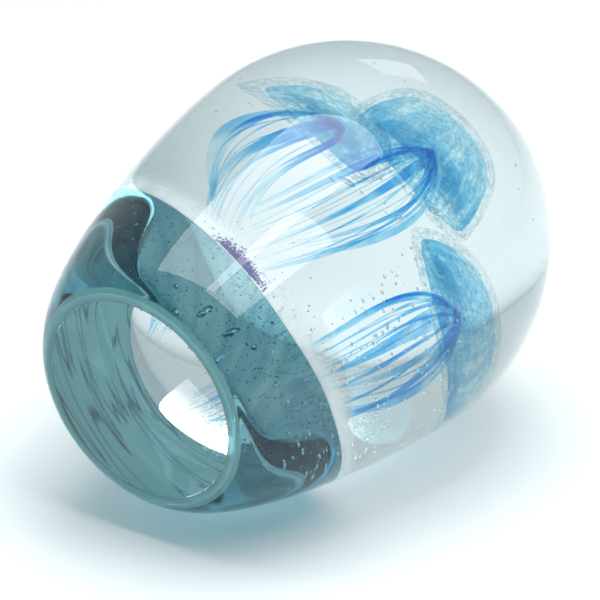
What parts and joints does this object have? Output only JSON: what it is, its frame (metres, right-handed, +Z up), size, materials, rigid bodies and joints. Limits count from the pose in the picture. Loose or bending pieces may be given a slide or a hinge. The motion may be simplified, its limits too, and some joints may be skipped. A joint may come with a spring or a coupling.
{
  "type": "paperweight",
  "caption": "Egg-shaped solid art-glass paperweight with a ground flat base, a smoky teal glass cup round its foot and blue glass jellyfish sealed in clear glass.",
  "frame": {"origin": "middle of the ground flat underneath", "axes": "+Z up the egg's long axis from the flat to the top of the dome; -Y is the side where the teal cup's rim is lowest"},
  "size_m": [0.08, 0.08, 0.1096],
  "materials": {
    "clear_glass": "polished",
    "teal_glass": "polished, with fine specks",
    "veil_glass": "finely seeded",
    "bell_glass": "powdered and streaked",
    "thread_glass": "drawn and translucent"
  },
  "bodies": {
    "root": {"back_bead": "thread_glass", "back_bell": "bell_glass", "back_thread_1": "thread_glass", "back_thread_2": "thread_glass", "back_thread_3": "thread_glass", "back_thread_4": "thread_glass", "back_thread_5": "thread_glass", "back_thread_6": "thread_glass", "back_veil": "veil_glass", "clear_casing": "clear_glass", "front_bead": "thread_glass", "front_bell": "bell_glass", "front_thread_1": "thread_glass", "front_thread_2": "thread_glass", "front_thread_3": "thread_glass", "front_thread_4": "thread_glass", "front_thread_5": "thread_glass", "front_thread_6": "thread_glass", "front_thread_7": "thread_glass", "front_veil": "veil_glass", "middle_bead": "thread_glass", "middle_bell": "bell_glass", "middle_thread_1": "thread_glass", "middle_thread_2": "thread_glass", "middle_thread_3": "thread_glass", "middle_thread_4": "thread_glass", "middle_thread_5": "thread_glass", "middle_thread_6": "thread_glass", "middle_thread_7": "thread_glass", "middle_thread_8": "thread_glass", "middle_veil": "veil_glass", "tinted_cup": "teal_glass"}
  },
  "joints": []
}
